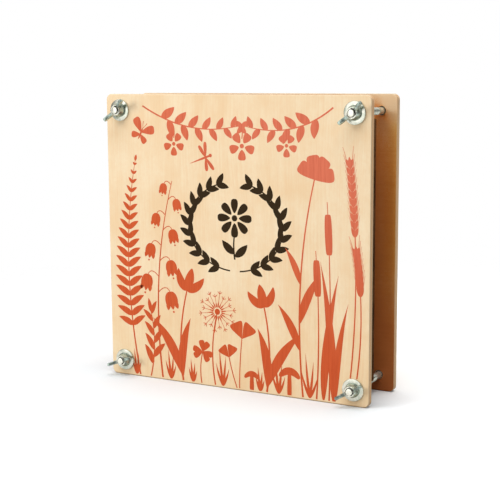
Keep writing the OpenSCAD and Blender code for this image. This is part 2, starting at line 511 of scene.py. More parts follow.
def zinc_plate(name, tones, gloss, dent, bands=(), metal=1.0):
    """Zinc on steel: clouds of two tones, fine tumbling marks and soft dents.

    Each band is a painted highlight or painted shade: another tone, between two radii
    and two places along the bolts, in millimetres. Its last value is how far it keeps to
    the upper right of the bolt.
    """
    material, g = new_material(name)
    place = g.place()
    cloud = g.noise(place, 0.28, 2.0)
    dents = g.noise(place, 0.45, 1.0)
    marks = g.noise(place, 2.4, 3.0, 0.6)
    colour = g.mix(g.step(cloud, 0.35, 0.65), *tones)
    colour = g.mix(g.step(marks, 0.62, 0.8) * 0.35, colour, shaded(tones[0], 0.5))
    # Painted highlights and shade, as bands round the bolts
    for tone, inner, outer, front, back, upper_right in bands:
        r, y, bearing = from_bolt(g)
        ring = g.step(r, inner - 0.1, inner) * g.step(r, outer + 0.1, outer)
        ring = ring * g.step(y, front - 0.1, front) * g.step(y, back + 0.2, back)
        ring = ring * g.step(bearing, 0.25, 0.65, 1 - upper_right, 1.0)
        colour = g.mix(ring, colour, tone)
    rough = gloss + g.step(marks, 0.3, 0.75) * 0.1 + cloud * 0.06
    g.finish(colour, rough, dents + marks * 0.08, 0.5, dent, {"Metallic": metal})
    return material


def fibre_board(name, pale, dark, scale, mottle):
    """Card or blotting paper: matt, mottled and full of short fibres."""
    material, g = new_material(name)
    place = g.place()
    x, y, z = g.split(place)
    fibres = g.noise(g.join(x * scale, y * scale * 2, z * scale * 0.4), 1.0, 4.0, 0.7)
    blotch = g.noise(place, 0.06, 3.0)
    pale, dark = linear(pale), linear(dark)
    colour = g.mix(g.step(fibres * 0.55 + blotch * 0.45, 0.36, 0.64), pale, dark)
    flecks = g.step(g.noise(place, scale * 1.7, 2.0), 0.68, 0.78)
    colour = g.mix(flecks * mottle, colour, shaded(dark, 0.6))
    rough = 0.85 + blotch * 0.1
    g.finish(colour, rough, fibres, 0.5, 0.08 * MM, {"Specular IOR Level": 0.2})
    return material


# ---- settings


def length(name, description, default, **more):
    """A property that is a length in metres."""
    return FloatProperty(
        name=name, description=description, default=default, unit="LENGTH", precision=5, **more
    )


def colour(name, description, *shown):
    """A property that is a colour as shown on a screen, from 0 to 255."""
    return FloatVectorProperty(
        name=name,
        description=description,
        default=[part / 255 for part in shown],
        subtype="COLOR_GAMMA",
        min=0,
        max=1,
    )


class PressBoards(bpy.types.PropertyGroup):
    """Sizes and colours of the two plywood boards."""

    hole: length("Hole", "Diameter of the bolt holes", 6 * MM)
    corner: length("Corner", "Radius of the boards' four corners", 4 * MM)
    edge: length("Edge", "Rounding along the boards' edges", 0.45 * MM)
    rim: length("Rim", "Rounding round the holes", 0.15 * MM)
    pocket: length("Pocket", "Width of the square pockets at the back", 5.2 * MM)
    pocket_depth: length("Pocket depth", "Depth of the square pockets", 3.6 * MM)
    face_pale: colour("Pale wood", "Palest wood of the faces", 251, 229, 193)
    face_warm: colour("Warm wood", "Warmest wood of the faces", 244, 211, 167)
    back_pale: colour("Pale back wood", "Palest wood of the back board", 244, 214, 176)
    back_warm: colour("Warm back wood", "Warmest wood of the back board", 235, 199, 156)
    edge_side: colour("Edge along", "Edge of a ply along its grain", 206, 199, 178)
    edge_end: colour("Edge across", "End grain of a ply", 208, 187, 158)
    roughness: FloatProperty(
        name="Roughness", description="Roughness of the sanded wood", default=0.5
    )


class PressPrint(bpy.types.PropertyGroup):
    """The picture that is printed on the front board."""

    film: length("Film", "Thickness of the ink", 0.03 * MM)
    layer: length("Layer", "How much higher each stroke lies", 0.0004 * MM)
    coral: colour("Coral", "Ink of the plants", 210, 89, 48)
    # Painted sheen: the plants' ink is lighter up at the right
    coral_sheen: colour("High coral", "Ink of the plants, up at the right", 223, 115, 86)
    brown: colour("Brown", "Ink of the emblem", 48, 33, 14)


class PressHardware(bpy.types.PropertyGroup):
    """Bolts, washers and wing nuts."""

    bolt: length("Bolt", "Outer diameter of the bolts' thread", 5 * MM)
    shank: length("Shank", "Diameter of the plain shank", 4.9 * MM)
    pitch: length("Pitch", "Pitch of the thread", 0.8 * MM)
    thread_depth: length("Thread depth", "Depth of the thread", 0.46 * MM)
    thread_start: length("Thread start", "Plain length under the head", 12.5 * MM)
    neck: length("Neck", "Width of the square neck", 5 * MM)
    neck_length: length("Neck length", "Length of the square neck", 3.5 * MM)
    washer_bore: length("Washer bore", "Bore of the washers", 5.5 * MM)
    nut_bore: length("Nut bore", "Bore of the wing nuts", 5.1 * MM)
    hub_foot: length("Hub foot", "Diameter of a nut's hub at its foot", 10 * MM)
    hub_top: length("Hub top", "Diameter of a nut's hub at its outer end", 7 * MM)
    hub_height: length("Hub height", "Height of a nut's hub", 4.8 * MM)
    wing: length("Wing", "Thickness of a wing", 2.4 * MM)
    wing_width: length("Wing width", "Width of a wing, seen from its side", 3.4 * MM)
    fillet: length("Fillet", "Blend between the hub and its wings", 1.1 * MM)
    zinc_pale: colour("Pale zinc", "Palest zinc plate", 219, 218, 204)
    zinc_tint: colour("Tinted zinc", "Zinc plate with its green tint", 192, 198, 182)
    zinc_dull: colour("Dull zinc", "Plate on the nuts' cast sides", 146, 160, 150)


class PressStack(bpy.types.PropertyGroup):
    """Corrugated cards and blotting papers."""

    liner: length("Liner", "Thickness of a card's two liners", 0.28 * MM)
    flute: length("Flute", "Distance from one flute to the next", 3.76 * MM)
    flute_wall: length("Flute wall", "Thickness of the fluted sheet", 0.22 * MM)
    inset: length("Inset", "How far the flutes end inside the liners", 0.12 * MM)
    notch: length("Notch", "Distance from the middle to a notch's edge", 85.4 * MM)
    card_pale: colour("Pale card", "Palest card", 138, 92, 52)
    card_dark: colour("Dark card", "Darkest card", 84, 53, 28)
    paper_pale: colour("Pale paper", "Palest blotting paper", 236, 231, 218)
    paper_dark: colour("Dark paper", "Darkest blotting paper", 216, 208, 190)


class PressStage(bpy.types.PropertyGroup):
    """Camera and light."""

    ambient: FloatProperty(name="Ambient", description="Light all round", default=0.422)
    dark_side: FloatProperty(
        name="Dark side", description="Bearing of the unlit side, to the right", default=100
    )
    key: FloatProperty(name="Key", description="Lamp at the left", default=22.0)
    top: FloatProperty(name="Top", description="Lamp overhead", default=25.0)
    rear: FloatProperty(name="Rear", description="Lamp behind", default=9.0)
    lens: FloatProperty(name="Lens", description="Focal length in mm", default=83.109)


SETTINGS = {
    "press_boards": PressBoards,
    "press_print": PressPrint,
    "press_hardware": PressHardware,
    "press_stack": PressStack,
    "press_stage": PressStage,
}


# ---- boards


def board_shell(low, high, settings, pocketed):
    """Grid of a board: a quarter with its hole, mirrored four times.

    Rays run from the hole's circle to the quarter's outline. The rings along them go
    over the front face, into the hole, out over the back face, and round the edge as
    quarter circles of the edge's radius.
    """
    shell = Shell()
    centre, front, back = (low + high) / 2, low[1], high[1]
    half = (high - low)[[0, 2]] / 2
    hole = np.abs(np.array(bolt_place("top_right")) - centre[[0, 2]])
    radius, edge, rim = settings.hole / 2, settings.edge, settings.rim
    inner = half - settings.corner

    keys = np.array([(0, 0), (half[0], 0), (half[0], inner[1]), (inner[0], half[1]), (0, half[1])])
    turns = np.arctan2(*(keys - hole).T[::-1])
    turns = np.append(turns, turns[0] + 2 * np.pi)
    spans = zip(turns, turns[1:], BOARD_RAYS)
    angle = np.concatenate([np.linspace(a, b, n, endpoint=False) for a, b, n in spans])
    ray = np.stack([np.cos(angle), np.sin(angle)], -1)
    with np.errstate(divide="ignore"):
        limits = np.where(ray > 0, (half - hole) / ray, -hole / ray)
    base = np.clip(hole + ray * limits.min(1, keepdims=True), 0, half)
    arc = slice(sum(BOARD_RAYS[:2]), sum(BOARD_RAYS[:3]) + 1)
    outer = slice(BOARD_RAYS[0], sum(BOARD_RAYS[:4]) + 1)
    bend = np.linspace(0, np.pi / 2, BOARD_RAYS[2] + 1)
    arc_ray = np.stack([np.cos(bend), np.sin(bend)], -1)

    def ring(points, y):
        return np.concatenate([points, np.full((len(points), 1), y)], 1)

    def outline(inset, y):
        points = np.minimum(base, half - inset)
        points[arc] = inner + (settings.corner - inset) * arc_ray
        return ring(points, y)

    def circle(r, y, square=0.0):
        reach = np.maximum(r, square / 2 / np.abs(ray).max(1))
        return ring(hole + ray * reach[:, None], y)

    def rounding(shape, start, size, face, inwards):
        """Rings of a quarter circle, from the face inwards or back out to it."""
        bend = np.linspace(0, np.pi / 2, 5)[:: 1 if inwards else -1]
        deep = size if inwards else -size
        return [
            shape(start + size * (1 - math.sin(q)), face + deep * (1 - math.cos(q))) for q in bend
        ]

    rings = [outline(edge, front), outline(edge + GUARD, front)]
    rings += [circle(radius + rim + GUARD, front)]
    rings += rounding(circle, radius, rim, front, True)
    rings += [circle(radius, front + rim + GUARD)]
    if pocketed:
        width, floor = settings.pocket, back - settings.pocket_depth
        rings += [circle(radius, floor), circle(radius, floor, width)]
        rings += [circle(radius, back, width), circle(radius + 2 * rim + GUARD, back)]
    else:
        rings += [circle(radius, back - rim - GUARD)]
        rings += rounding(circle, radius, rim, back, False)
        rings += [circle(radius + rim + GUARD, back)]
    rings += [outline(edge + GUARD, back), outline(edge, back)]
    band = rounding(outline, 0, edge, front, True)
    band += [outline(0, front + edge + GUARD), outline(0, back - edge - GUARD)]
    band += rounding(outline, 0, edge, back, False)
    grids = (np.stack(rings), True), (np.stack(band)[:, outer], False)
    for side, level in ((-1, -1), (-1, 1), (1, -1), (1, 1)):
        for grid, close in grids:
            placed = centre + grid[..., [0, 2, 1]] * (side, 0, level)
            placed[..., 1] = grid[..., 2]
            shell.grid(placed, close_columns=close, flip=side * level < 0)
    return shell


class FLOWERPRESS_OT_boards(bpy.types.Operator):
    """Builds the two plywood boards with their holes and rounded edges"""

    bl_idname = "flowerpress.boards"
    bl_label = "Boards"

    def execute(self, context):
        settings = context.scene.press_boards
        for side, tones, grain_up, inward in (
            ("front", (settings.face_pale, settings.face_warm), True, 0),
            ("back", (settings.back_pale, settings.back_warm), False, -1),
        ):
            node = side + "_board"
            low, high = cad_box(node)
            finish = plywood("birch_" + side, settings, tones, low, high, grain_up, inward)
            shell = board_shell(low, high, settings, side == "back")
            shell.make("panel_" + side, finish, side, [node], "birch_ply")
        return {"FINISHED"}


# ---- print


class Picture:
    """Strokes of a printed picture, in millimetres on the front board's face.

    X runs to the right from the middle of the board, and Z up from its lower edge.
    """

    def __init__(self):
        self.rows = []

    def stroke(self, start, middle, end, root=0.0, tip=0.0, belly=0.0, rise=1.0, fall=1.0):
        """One stroke on a curve with one bend. Its half width goes from root to tip,
        with a belly of t^rise (1-t)^fall on top."""
        self.rows.append((*start, *middle, *end, root, tip, belly, rise, fall))

    def leaf(self, base, turn, length, width, bow=0.0, rise=0.8, fall=1.0, root=0.08, tip=0.05):
        """A leaf or petal from its base in one direction, bowed to the left."""
        on = ahead(turn)
        base = np.array(base, float)
        middle = base + on * length / 2 + np.array([-on[1], on[0]]) * bow * length
        self.stroke(base, middle, base + on * length, root, tip, width, rise, fall)

    def dot(self, centre, radius):
        """A round dot."""
        x, z = centre
        self.stroke((x, z - radius), centre, (x, z + radius), 0.02, 0.02, radius, 0.5, 0.5)

    def film(self, face, settings, name, ink):
        """Makes the strokes a thin film of ink on the board's face.

        A stroke's middle line is (1-t)^2 A + 2t(1-t) B + t^2 C, and its two edges lie
        half a width to the left and right of it. Each stroke is a hair higher than the
        one before, so that no two faces lie in one plane.
        """
        left, right = stroke_edges(np.array(self.rows, float))
        number, steps = left.shape[:2]
        lift = settings.film + settings.layer * (np.arange(number) % LAYERS)
        low = np.full((number, steps), face)
        high = low - lift[:, None]
        sides = ((left, low), (left, high), (right, high), (right, low))
        loops = [np.stack([edge[..., 0] * MM, y, edge[..., 1] * MM], -1) for edge, y in sides]
        shell = Shell()
        shell.bars(np.stack(loops, 2))
        shell.make(name, ink, "front", flat=True)


def stroke_edges(rows):
    """Left and right edges of every stroke at once, closer together at the ends."""
    start, middle, end = rows[:, None, 0:2], rows[:, None, 2:4], rows[:, None, 4:6]
    root, tip, belly, rise, fall = (rows[:, k, None] for k in range(6, 11))
    t = (1 - np.cos(np.linspace(0, np.pi, STROKE_POINTS)))[None] / 2
    u = t[..., None]
    centre = (1 - u) ** 2 * start + 2 * u * (1 - u) * middle + u * u * end
    run = (1 - u) * (middle - start) + u * (end - middle)
    run /= np.linalg.norm(run, axis=2, keepdims=True)
    left = np.stack([-run[..., 1], run[..., 0]], -1)
    peak = rise / (rise + fall)
    swell = t**rise * (1 - t) ** fall / (peak**rise * (1 - peak) ** fall)
    half = (root + (tip - root) * t + belly * swell)[..., None]
    return centre + left * half, centre - left * half


def on_curve(start, middle, end, t):
    """Point and direction, in degrees, on a curve with one bend."""
    start, middle, end = (np.array(point, float) for point in (start, middle, end))
    point = (1 - t) ** 2 * start + 2 * t * (1 - t) * middle + t * t * end
    run = (1 - t) * (middle - start) + t * (end - middle)
    return point, math.degrees(math.atan2(run[1], run[0]))


def ahead(turn):
    """Unit step in a direction in degrees."""
    return np.array([math.cos(math.radians(turn)), math.sin(math.radians(turn))])


TULIP_PETALS = (
    (0, 1, 0.22, 0, 0.5, 0.75),
    (-40, 1.02, 0.19, -0.24, 0.5, 0.8),
    (40, 1.02, 0.19, 0.24, 0.5, 0.8),
)
POPPY_PETALS = (
    (-62, 0.95, 0.3, 0.05, 0.95, 0.25),
    (62, 0.95, 0.3, -0.05, 0.95, 0.25),
    (-19, 1.05, 0.31, 0.05, 0.95, 0.25),
    (19, 1.05, 0.31, -0.05, 0.95, 0.25),
)
# Kinds of bloom: half widths of the stem, petals, and bow and rise of the blades
TULIP = (0.75, 0.5), TULIP_PETALS, 0.14, 0.9
POPPY = (0.65, 0.45), POPPY_PETALS, 0.1, 0.8


def fern(art, stem, reach, pairs):
    """Frond whose leaflets grow and shrink as a sine along the stem."""
    art.stroke(*stem, 0.65, 0.2)
    for n in range(pairs):
        t = 0.22 + 0.76 * n / (pairs - 1)
        at, turn = on_curve(*stem, t)
        size = reach * math.sin(math.pi * (0.1 + 0.86 * t) ** 0.9) ** 0.8 * (1.06 - 0.4 * t)
        for side in (-1, 1):
            lean = side * (66 - 22 * t)
            art.leaf(at, turn + lean, size, size * 0.15 + 0.25, side * -0.1, 0.55, 0.9)
    art.leaf(*on_curve(*stem, 1), reach * 0.3, 1.0)


def bloom(art, stem, size, blades, kind):
    """Flower on a stem with long blades.

    A kind is its stem's half widths, its petals, and the bow and rise of its blades. A
    petal is a lean, length, width, bow, rise and fall, in parts of the flower's size.
    A blade is a place on the stem, lean, length and width.
    """
    widths, petals, bow, rise = kind
    art.stroke(*stem, *widths)
    end, turn = on_curve(*stem, 1)
    for lean, long, wide, *shape in petals:
        art.leaf(end, turn + lean, size * long, size * wide, *shape)
    for t, lean, long, wide in blades:
        at, turn = on_curve(*stem, t)
        art.leaf(at, turn + lean, long, wide, bow if lean < 0 else -bow, rise, 1.1)


def bell(art, at, turn, size):
    """Hanging bell with three points and a clapper."""
    down, side = ahead(turn), ahead(turn + 90)
    mouth = at + down * size * 0.72
    art.stroke(at, (at + mouth) / 2, mouth, size * 0.06, size * 0.36, size * 0.2, 0.45, 0.9)
    for k in (-1, 0, 1):
        point = mouth + side * size * 0.25 * k - down * size * 0.05
        art.leaf(point, turn + 12 * k, size * 0.34, size * 0.13, 0, 0.3, 0.8)
    art.dot(mouth + down * size * 0.42, size * 0.06)


def bellflower(art, stem, bells, size):
    """Stem with bells on short stalks, in turn to the left and right."""
    art.stroke(*stem, 0.7, 0.25)
    for n in range(bells):
        at = on_curve(*stem, 0.42 + 0.56 * n / (bells - 1))[0]
        side = -1 if n % 2 else 1
        scale = size * (1.1 - 0.5 * n / bells)
        out = at + np.array([side * scale * 0.75, scale * 0.1])
        top = at + np.array([side * scale * 0.5, scale * 0.55])
        art.stroke(at, top, out, 0.3, 0.25)
        bell(art, out, -90 + side * 12, scale)


def wheat(art, stem, rows):
    """Ear of paired grains with long bristles."""
    art.stroke(*stem, 0.5, 0.35)
    for n in range(rows):
        at, turn = on_curve(*stem, 0.68 + 0.32 * n / (rows - 1))
        for side in (-1, 1):
            art.leaf(at, turn + side * 22, 6.6, 1.25, side * -0.08, 0.6, 0.9)
            tip = at + 6.0 * ahead(turn + side * 21)
            art.leaf(tip, turn + side * 11, 8.5, 0.0, side * -0.03, 1, 1, 0.2, 0.1)
    art.leaf(*on_curve(*stem, 1), 7.5, 1.3, 0, 0.6, 0.9)


def bulrush(art, stem, head):
    """Thick round-ended head near the top of a straight stem."""
    art.stroke(*stem, 0.6, 0.25)
    low, high = on_curve(*stem, 0.94 - head), on_curve(*stem, 0.94)
    art.stroke(low[0], (low[0] + high[0]) / 2, high[0], 0.3, 0.3, 2.3, 0.16, 0.16)


def dragonfly(art, centre, size, turn):
    """Long body with a round head and four narrow wings."""
    centre, on = np.array(centre, float), ahead(turn) * size
    art.leaf(centre + on * 0.3, turn + 180, size * 1.5, size * 0.06, 0, 0.2, 0.9)
    art.dot(centre + on * 0.36, size * 0.11)
    for side in (-1, 1):
        for lean, long in ((72, 0.95), (104, 0.85)):
            art.leaf(centre, turn + side * lean, size * long, size * 0.11, 0, 0.9, 0.4)


def seed_head(art, stem, radius, spokes):
    """Ball of seeds, each on a thin spoke that ends in a tuft."""
    art.stroke(*stem, 0.55, 0.4)
    centre = on_curve(*stem, 1)[0]
    art.dot(centre, radius * 0.14)
    for n in range(spokes):
        turn = 360 * (n + 0.5) / spokes - 90
        reach = radius * (1.0 if n % 2 else 0.8)
        foot = centre + ahead(turn) * radius * 0.2
        art.leaf(foot, turn, reach * 0.3, 0.42, 0, 0.5, 0.9)
        art.leaf(foot, turn, reach * 0.66, 0.0, 0, 1, 1, 0.17, 0.14)
        for fan in (-48, 0, 48):
            tuft = centre + ahead(turn) * reach * 0.84
            art.leaf(tuft, turn + fan, radius * 0.16, 0.18, 0, 0.6, 0.6)


def clover(art, stem, size):
    """Three heart-shaped leaflets on a stem."""
    art.stroke(*stem, 0.45, 0.35)
    end, turn = on_curve(*stem, 1)
    for third in (-112, 0, 112):
        for half in (-21, 21):
            art.leaf(end, turn + third + half, size, size * 0.27, 0.0, 1.0, 0.3, 0.03)


def blossom(art, centre, radius, petals, turn=90, width=0.3, fall=0.28):
    """Open flower of round petals about a dot."""
    for n in range(petals):
        a = turn + 360 * n / petals
        foot = np.array(centre) + ahead(a) * radius * 0.26
        art.leaf(foot, a, radius * 0.74, radius * width, 0, 0.75, fall, 0.1)
    art.dot(centre, radius * 0.16)


def butterfly(art, centre, size, turn):
    """Body, two pairs of wings and two feelers."""
    centre, on = np.array(centre, float), ahead(turn) * size
    art.leaf(centre - on * 0.38, turn, size * 0.8, size * 0.055, 0, 0.5, 0.6)
    for side in (-1, 1):
        upper, lower, feeler = (centre + on * k for k in (0.08, -0.04, 0.4))
        art.leaf(upper, turn + side * 52, size, size * 0.27, side * -0.05, 1, 0.3)
        art.leaf(lower, turn + side * 118, size * 0.66, size * 0.2, side * 0.05, 1, 0.32)
        art.leaf(feeler, turn + side * 20, size * 0.42, 0, side * 0.12, 1, 1, 0.16, 0.24)


def fan_leaf(art, stem, size):
    """Leaf like a split fan."""
    art.stroke(*stem, 0.4, 0.35)
    end, turn = on_curve(*stem, 1)
    for side in (-1, 1):
        art.leaf(end, turn + side * 31, size, size * 0.42, 0, 1.15, 0.16, 0.1)


def sprig(art, stem, leaves, size, width, spread=48, taper=0.4):
    """Stem with leaves in turn on its left and right, and one at its tip."""
    art.stroke(*stem, 0.55, 0.25)
    for n in range(leaves):
        at, turn = on_curve(*stem, 0.2 + 0.77 * n / (leaves - 1))
        side, scale = -1 if n % 2 else 1, 1 - taper * n / leaves
        turn += side * spread
        art.leaf(at, turn, size * scale, width * scale, side * -0.1, 0.65, 0.9)
    art.leaf(*on_curve(*stem, 1), size * (1 - taper), width * (1 - taper), 0, 0.65, 0.9)


def mushroom(art, foot, height, cap):
    """Stalk under a domed cap."""
    x, z = foot
    rim = z + height
    art.stroke(foot, (x, z + height / 2), (x, rim + cap * 0.5), 1.4, 1.0, 0.4, 0.5, 0.5)
    dome = (x - cap, rim), (x, rim + cap * 1.2), (x + cap, rim)
    art.stroke(*dome, 0.1, 0.1, cap * 0.33, 0.4, 0.4)


def garden():
    """Plants round the edges of the board."""
    art = Picture()
    fern(art, ((-76, 1.5), (-92, 84), (-77, 154)), 15, 18)
    bellflower(art, ((-57, 1.5), (-66, 76), (-47, 141)), 8, 11.5)
    sprig(art, ((-67, 1.5), (-61, 24), (-66, 48)), 8, 15, 2.3, 36, 0.35)
    blades = (0.05, 24, 46, 3.6), (0.02, -17, 44, 3.2)
    bloom(art, ((-40, 1.5), (-45, 34), (-36, 66)), 16, blades, TULIP)
    clover(art, ((-25, 1.5), (-27, 12), (-24, 24)), 8)
    butterfly(art, (-72, 173), 11, 62)
    sprig(art, ((-70, 192), (-32, 170), (8, 180)), 12, 12.5, 2.9, 55)
    sprig(art, ((74, 192), (46, 170), (8, 180)), 11, 12.5, 2.9, 55)
    for x, z, drop, size in ((-45, 178.5, 8, 8), (8, 181, 10, 9.5), (41, 178, 7, 7.5)):
        art.stroke((x, z), (x + 1, z - drop / 2), (x, z - drop), 0.4, 0.35)
        blossom(art, (x, z - drop - size * 0.5), size, 5, 270)
    dragonfly(art, (-20, 158), 11, 20)
    blades = (0.2, 26, 34, 2.8), (0.32, -24, 38, 3.0), (0.5, 28, 26, 2.2)
    bloom(art, ((53, 1.5), (45, 80), (61, 146)), 15, blades, POPPY)
    bulrush(art, ((72, 1.5), (74, 66), (70, 132)), 0.2)
    bulrush(art, ((63, 1.5), (66, 50), (62, 100)), 0.24)
    for x, turn, long, wide in ((75, 96, 92, 2.7), (68, 83, 84, 2.6), (76, 82, 66, 2.2)):
        art.leaf((x, 1.5), turn, long, wide, (90 - turn) * 0.008, 0.7, 1.3, 0.5)
    wheat(art, ((87, 18.5), (94, 86), (86, 154)), 10)
    wheat(art, ((91.5, 18.5), (97, 58), (91, 98)), 8)
    seed_head(art, ((-14, 1.5), (-19, 26), (-12, 53)), 15, 20)
    fan_leaf(art, ((5, 1.5), (5, 18), (7, 36)), 12)
    fan_leaf(art, ((3, 1.5), (-1, 12), (-3, 22)), 9)
    blades = (0.03, 19, 42, 3.3), (0.06, -24, 46, 3.5)
    bloom(art, ((26, 1.5), (31, 30), (24, 60)), 15, blades, TULIP)
    mushroom(art, (43, 1.5), 12, 7.5)
    mushroom(art, (14.5, 1.5), 8, 5.5)
    tufts = ((-79, 0.8), (-50, 0.9), (-32, 0.7), (-8, 1.1), (21, 0.7), (35, 1.1), (58, 1.3))
    for x, size in tufts:
        for lean, long in ((-19, 15), (-6, 23), (6, 19), (21, 12)):
            art.leaf((x, 1.6), 90 - lean, long * size, 0.7, lean * -0.004, 0.5, 1.2, 0.3)
    return art


def emblem():
    """Leaf wreath with a flower in its middle."""
    art = Picture()
    centre, reach = np.array([2.0, 112.0]), np.array([36.0, 30.0])
    for side in (-1, 1):
        for n in range(11):
            turns = [-90 + side * (6 + 152 * (n + k) / 11) for k in (0, 0.5, 1)]
            a, middle, b = (centre + reach * ahead(turn) for turn in turns)
            art.stroke(a, 2 * middle - (a + b) / 2, b, 0.5, 0.45)
            turn = math.degrees(math.atan2(*(b - a)[::-1]))
            art.leaf(b, turn + 34, 9.5, 2.1, -0.08, 0.6, 0.9)
            art.leaf(b, turn - 34, 9.5, 2.1, 0.08, 0.6, 0.9)
    blossom(art, centre + (0, 6), 13, 8, 90, 0.2, 0.35)
    foot = centre - (0, 22)
    art.stroke(foot, centre - (1.5, 12), centre - (0, 5), 0.6, 0.5)
    art.leaf(foot + (0, 2), 42, 13, 2.6, -0.1)
    art.leaf(foot + (0, 4), 138, 13, 2.6, 0.1)
    return art


class FLOWERPRESS_OT_print(bpy.types.Operator):
    """Prints the plants and the emblem on the front board"""

    bl_idname = "flowerpress.print"
    bl_label = "Print"

    def execute(self, context):
        settings = context.scene.press_print
        face = cad_box("front_board")[0][1]
        coral = printing_ink("ink_coral", settings.coral, settings.coral_sheen, 0.5)
        brown = printing_ink("ink_brown", settings.brown, settings.brown, 0.2)
        garden().film(face, settings, "print_plants", coral)
        emblem().film(face, settings, "print_emblem", brown)
        return {"FINISHED"}


# ---- hardware


def bolt_skin(corner, settings):
    """Carriage bolt: domed head, square neck, plain shank and helical thread.

    Radius is a function of the height s along the bolt and the angle a round it. The
    neck is a rounded square. The thread's radius falls from the outer radius by its
    depth times a softened triangle wave of s / pitch - a / 2 pi.
    """
    low, high = cad_box("bolt_" + corner)
    back = cad_box("back_board")[1][1]
    head_h, head_r = high[1] - back, (high[0] - low[0]) / 2
    sphere = (head_r**2 + head_h**2) / (2 * head_h)
    cap = np.linspace(0, 0.955, 14) * math.asin(head_r / sphere)
    dome = np.stack([sphere * np.sin(cap), sphere - head_h - sphere * np.cos(cap)], 1)
    rim = [dome[-1], (head_r, -0.12 * MM), (head_r, 0), (head_r - 1 * MM, 0)]
    rim = soften(rim, [0, 0.25 * MM, 0.08 * MM, 0], 3, 0.05 * MM)
    head = np.concatenate([dome[:-1], rim])

    angle = np.arange(BOLT_SIDES) * 2 * np.pi / BOLT_SIDES
    square = settings.neck / 2 / np.maximum(np.abs(np.cos(angle)), np.abs(np.sin(angle)))
    square = np.minimum(square, settings.neck / 2 * 1.3)
    shank = settings.shank / 2
    plain = np.full(BOLT_SIDES, shank)
    neck, start, pitch = settings.neck_length, settings.thread_start, settings.pitch
    plain_at = [0, neck - 0.3 * MM, neck, neck + 0.3 * MM, start]

    total = back - low[1]
    end = total - END_DOME
    thread_at = np.linspace(start, end, int((total - start) / pitch * 7))
    s = thread_at[:, None]
    wave = np.abs(2 * ((s / pitch - angle / (2 * np.pi)) % 1) - 1)
    cut = settings.bolt / 2 - settings.thread_depth * np.clip((wave - 0.12) / 0.72, 0, 1)
    cut = shank + (cut - shank) * np.clip((s - start) / (1.5 * pitch), 0, 1)
    cut = np.minimum(cut, END_R + end - s)

    radius = np.concatenate([[square, square, plain, plain, plain], cut])
    height = np.append(plain_at, thread_at)[:, None] + 0 * angle
    side = np.stack([radius * np.cos(angle), radius * np.sin(angle), height], -1)
    share = np.array([0.85, 0.68, 0.5, 0.3, 0.12, 0])
    tip = np.stack([END_R * share, total - END_DOME * share**2], 1)
    skin = np.concatenate([revolve(head, BOLT_SIDES), side, revolve(tip, BOLT_SIDES)])
    return along_bolt(skin, corner, back)


def make_hardware(kind, node, corner, skin, finish, body, close_rows=True):
    """Makes one grid round a bolt the piece that stands for a CAD node."""
    shell = Shell()
    shell.grid(skin, close_rows, True)
    shell.make(kind + corner, finish, body, [node + corner], "zinc_steel")


class FLOWERPRESS_OT_bolts(bpy.types.Operator):
    """Builds the four carriage bolts"""

    bl_idname = "flowerpress.bolts"
    bl_label = "Bolts"

    def execute(self, context):
        settings = context.scene.press_hardware
        hub_end = (cad_box("washer_top_left")[0][1] - settings.hub_height) / MM
        tones = linear(settings.zinc_tint), linear(settings.zinc_pale)
        # Painted shade: a dark ring on the thread's side just past the nut's end; painted
        # highlight: a bright bolt end
        bands = (
            (shaded(tones[0], 0.05), 2.25, 9, hub_end - 0.85, hub_end, 0),
            (shaded(tones[1], 1.25), 0, 2.2, hub_end - 1.5, hub_end - 1.1, 0),
        )
        finish = zinc_plate("zinc_bolts", tones, 0.12, 0.03 * MM, bands, 0.65)
        for corner in CORNERS:
            skin = bolt_skin(corner, settings)
            make_hardware("screw_", "bolt_", corner, skin, finish, "back", False)
        return {"FINISHED"}


class FLOWERPRESS_OT_washers(bpy.types.Operator):
    """Builds the four washers, with the rolled upper edge of a punched ring"""

    bl_idname = "flowerpress.washers"
    bl_label = "Washers"

    def execute(self, context):
        settings = context.scene.press_hardware
        tones = linear(settings.zinc_tint), linear(settings.zinc_pale)
        finish = zinc_plate("zinc_washers", tones, 0.15, 0.03 * MM)
        for corner in CORNERS:
            low, high = cad_box("washer_" + corner)
            outer, inner = (high[0] - low[0]) / 2, settings.washer_bore / 2
            thick = high[1] - low[1]
            rolled = (outer, thick - 0.26 * MM), (outer - 1.9 * MM, thick)
            profile = [(inner, 0), (outer, 0), *rolled, (inner, thick)]
            cuts = np.array([0.08, 0.12, 0.3, 1, 0.2]) * MM
            ring = revolve(soften(profile, cuts, 5, closed=True), 72)
            skin = along_bolt(ring, corner, high[1])
            make_hardware("ring_", "washer_", corner, skin, finish, "front")
        return {"FINISHED"}


def smooth_least(a, b, blend):
    """Lesser of two fields, blended by a quadratic where they are close."""
    near = np.maximum(blend - np.abs(a - b), 0) / blend
    return np.minimum(a, b) - near * near * blend / 4


def smooth_most(a, b, blend):
    """Greater of two fields, blended where they are close."""
    return -smooth_least(-a, -b, blend)


